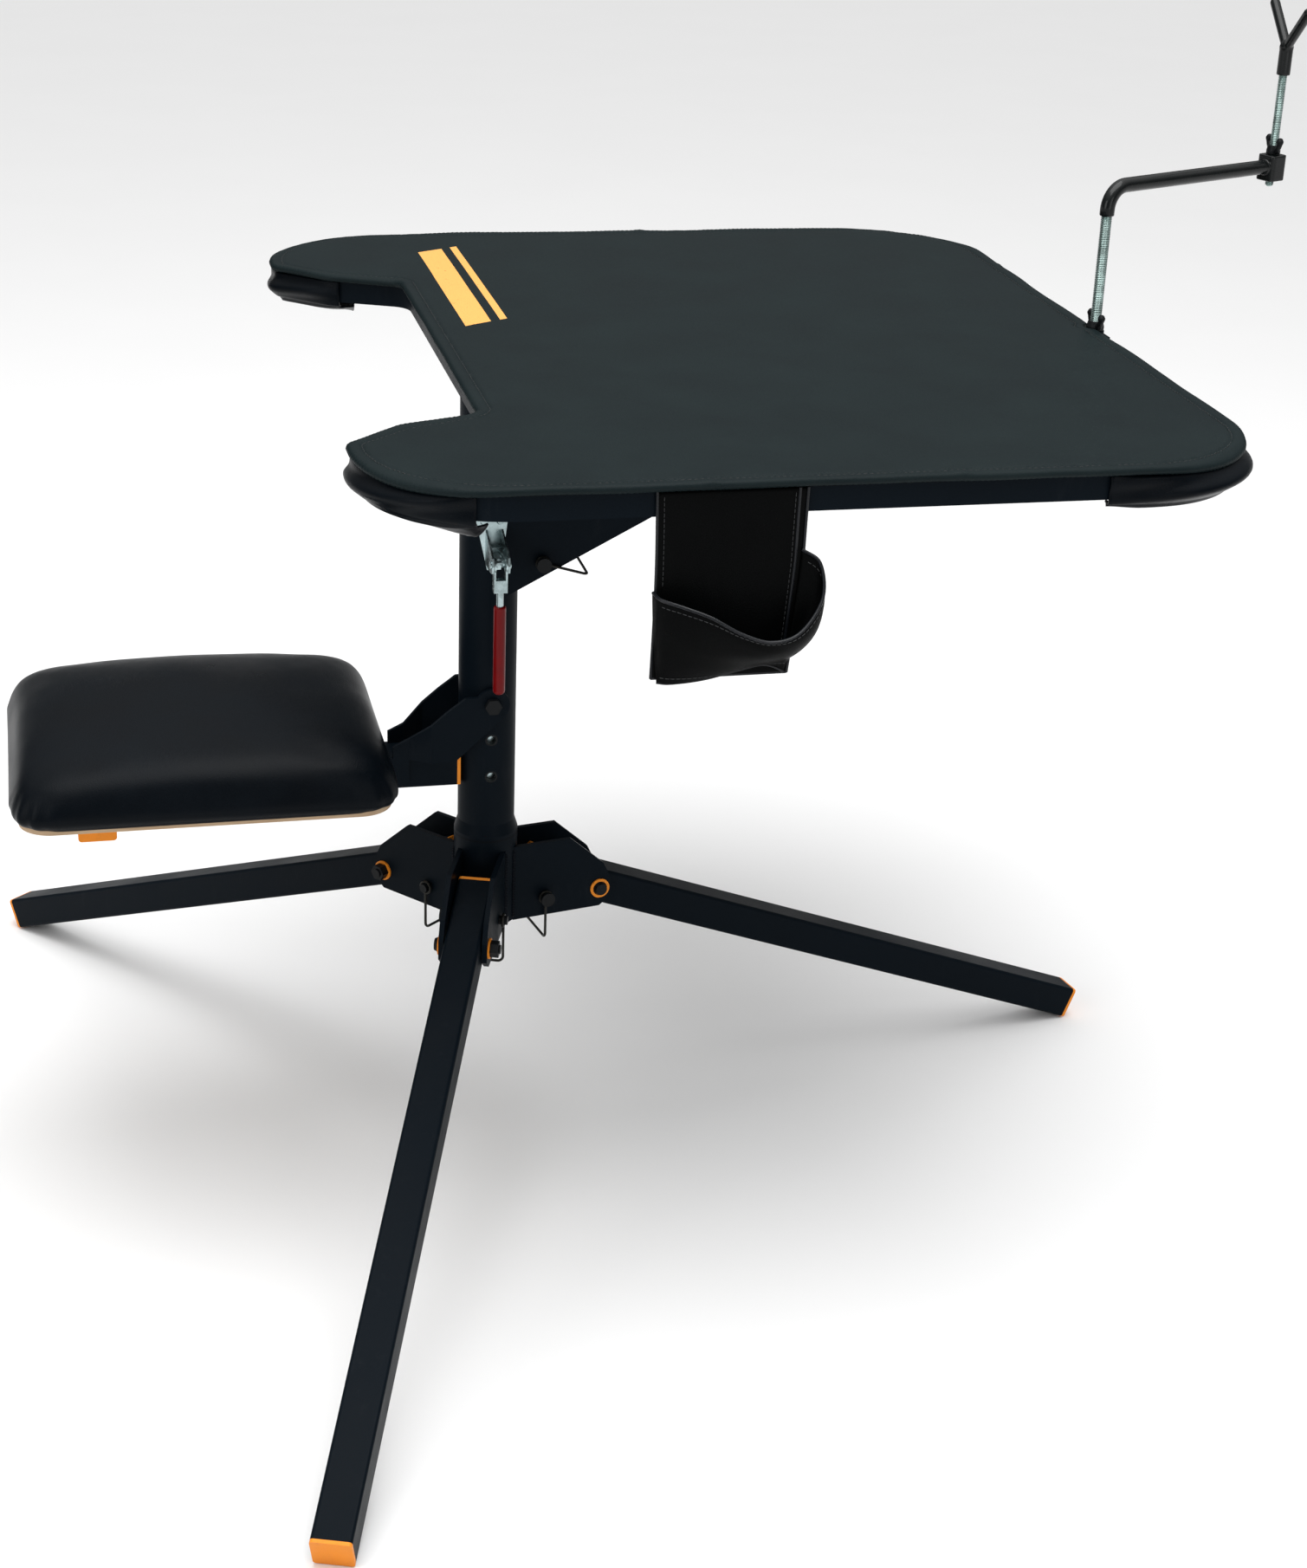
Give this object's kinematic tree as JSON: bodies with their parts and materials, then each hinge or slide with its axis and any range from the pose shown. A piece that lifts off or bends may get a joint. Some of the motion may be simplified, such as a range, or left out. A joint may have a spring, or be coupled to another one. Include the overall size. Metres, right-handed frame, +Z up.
{
  "type": "folding swivel field bench",
  "caption": "Folding tripod bench: turning column with a swing-up padded seat, notched padded table, side pouch and an adjustable fork rest.",
  "frame": {"origin": "column axis at floor level", "axes": "+X from the seat to the table's front edge, +Y to the sitter's left, +Z up"},
  "size_m": [1.2122, 1.1202, 1.0046],
  "materials": {
    "black_steel": "satin black powder coat with a faint navy tint",
    "zinc_steel": "bright zinc plating, slightly green",
    "black_hardware": "black oxide, satin",
    "spring_wire": "black spring wire, satin",
    "orange_plastic": "moulded orange plastic",
    "nylon": "natural nylon, matte",
    "table_vinyl": "dark slate leatherette over foam, fine grain, piped edge",
    "seat_vinyl": "black leatherette over foam, soft sheen",
    "pouch_vinyl": "thin black leatherette, soft sheen",
    "panel_sheet": "black coated sheet, matte",
    "seat_wood": "bare plywood",
    "red_grip": "dipped red vinyl, glossy",
    "black_dip": "thick glossy black dip coating",
    "rubber": "black rubber, matte"
  },
  "bodies": {
    "hub": {"hub_socket": "black_steel", "inner_mast": "zinc_steel", "thrust_washer": "nylon", "hub_brackets": "black_steel", "leg_pivot_bolts": "black_hardware", "leg_pivot_nuts": "black_hardware", "pivot_washers": "orange_plastic", "lock_pins": "black_hardware"},
    "leg_1": {"leg_tube_1": "black_steel", "leg_plugs_1": "orange_plastic"},
    "leg_bail_1": {"leg_pin_bail_1": "spring_wire"},
    "leg_2": {"leg_tube_2": "black_steel", "leg_plugs_2": "orange_plastic"},
    "leg_bail_2": {"leg_pin_bail_2": "spring_wire"},
    "leg_3": {"leg_tube_3": "black_steel", "leg_plugs_3": "orange_plastic"},
    "leg_bail_3": {"leg_pin_bail_3": "spring_wire"},
    "column": {"post_tube": "black_steel", "post_bushings": "nylon", "seat_inserts": "black_hardware", "seat_pivot_bolts": "black_hardware", "gusset_plates": "black_steel", "head_plate": "black_steel", "pin_lug": "black_steel", "head_pin": "black_hardware", "front_rail_bend": "black_steel", "notch_rail": "black_steel", "ear_rail_left": "black_steel", "ear_rail_right": "black_steel", "side_rails": "black_steel", "centre_rails": "black_steel", "cross_rails": "black_steel", "table_panel": "panel_sheet", "table_pad": "table_vinyl", "corner_pockets": "seat_vinyl", "pouch_strap": "pouch_vinyl", "pouch_bag": "pouch_vinyl", "rest_socket": "black_steel", "clamp_base": "zinc_steel", "clamp_rivets": "zinc_steel", "clamp_screws": "zinc_steel"},
    "head_bail": {"head_pin_bail": "spring_wire"},
    "seat": {"seat_arm_plates": "black_steel", "seat_beam": "black_steel", "seat_cross_tube": "black_steel", "seat_plugs": "orange_plastic", "seat_board": "seat_wood", "seat_cushion": "seat_vinyl"},
    "handle": {"clamp_handle": "zinc_steel", "clamp_grip": "red_grip"},
    "link": {"clamp_link": "zinc_steel"},
    "plunger": {"clamp_plunger": "zinc_steel", "plunger_tip": "rubber"},
    "rod": {"rest_rod": "zinc_steel"},
    "rod_nut": {"rest_wing_nut": "black_dip"},
    "arm": {"rest_arm": "black_dip"},
    "arm_nut": {"yoke_wing_nut": "black_dip"},
    "fork_rod": {"yoke_rod": "zinc_steel"},
    "fork": {"yoke": "black_dip"}
  },
  "joints": [
    {"name": "leg_fold_1", "type": "hinge", "parent": "hub", "child": "leg_1", "pos_m": [0.10221, 0.01922, 0.23793], "axis": [-0.1848, 0.9828, 0], "range_deg": [0, 67]},
    {"name": "leg_bail_swing_1", "type": "hinge", "parent": "hub", "child": "leg_bail_1", "pos_m": [0.04868, 0.00915, 0.23885], "axis": [0.1848, -0.9828, 0], "range_deg": [-40, 50]},
    {"name": "leg_fold_2", "type": "hinge", "parent": "hub", "child": "leg_2", "pos_m": [-0.06775, 0.07891, 0.23793], "axis": [-0.7587, -0.6514, 0], "range_deg": [0, 67]},
    {"name": "leg_bail_swing_2", "type": "hinge", "parent": "hub", "child": "leg_bail_2", "pos_m": [-0.03227, 0.03758, 0.23885], "axis": [0.7587, 0.6514, 0], "range_deg": [-40, 50]},
    {"name": "leg_fold_3", "type": "hinge", "parent": "hub", "child": "leg_3", "pos_m": [-0.03446, -0.09813, 0.23793], "axis": [0.9435, -0.3313, 0], "range_deg": [0, 67]},
    {"name": "leg_bail_swing_3", "type": "hinge", "parent": "hub", "child": "leg_bail_3", "pos_m": [-0.01641, -0.04674, 0.23885], "axis": [-0.9435, 0.3313, 0], "range_deg": [-40, 50]},
    {"name": "column_swivel", "type": "hinge", "parent": "hub", "child": "column", "pos_m": [0, 0, 0.4], "axis": [0, 0, 1], "continuous": true},
    {"name": "seat_fold", "type": "hinge", "parent": "column", "child": "seat", "pos_m": [0, 0, 0.436], "axis": [0, 1, 0], "range_deg": [0, 60]},
    {"name": "head_bail_swing", "type": "hinge", "parent": "column", "child": "head_bail", "pos_m": [0.043, 0, 0.563], "axis": [0, -1, 0], "range_deg": [-90, 24]},
    {"name": "clamp_throw", "type": "hinge", "parent": "column", "child": "handle", "pos_m": [0, -0.058, 0.575], "axis": [-1, 0, 0], "range_deg": [0, 90]},
    {"name": "clamp_link_turn", "type": "hinge", "parent": "handle", "child": "link", "pos_m": [0, -0.0535, 0.575], "axis": [-1, 0, 0], "range_deg": [-113, 0]},
    {"name": "plunger_travel", "type": "slide", "parent": "column", "child": "plunger", "axis": [0, -1, 0], "range_m": [0, 0.0055]},
    {"name": "rest_height", "type": "slide", "parent": "column", "child": "rod", "axis": [0, 0, 1], "range_m": [-0.058, 0.08]},
    {"name": "rest_nut_turn", "type": "hinge", "parent": "column", "child": "rod_nut", "pos_m": [0.572, 0.085, 0.731], "axis": [0, 0, 1], "continuous": true},
    {"name": "rest_swivel", "type": "hinge", "parent": "rod", "child": "arm", "pos_m": [0.572, 0.085, 0.835], "axis": [0, 0, 1], "continuous": true},
    {"name": "fork_nut_turn", "type": "hinge", "parent": "arm", "child": "arm_nut", "pos_m": [0.76938, 0.17371, 0.87], "axis": [0, 0, 1], "continuous": true},
    {"name": "fork_height", "type": "slide", "parent": "arm", "child": "fork_rod", "axis": [0, 0, 1], "range_m": [-0.045, 0.012]},
    {"name": "fork_swivel", "type": "hinge", "parent": "fork_rod", "child": "fork", "pos_m": [0.76938, 0.17371, 0.945], "axis": [0, 0, 1], "continuous": true}
  ],
  "couplings": [
    {"joint": "clamp_link_turn", "follows": "clamp_throw", "ratio": -1.2447},
    {"joint": "plunger_travel", "follows": "clamp_throw", "m_per_rad": 0.003425}
  ]
}
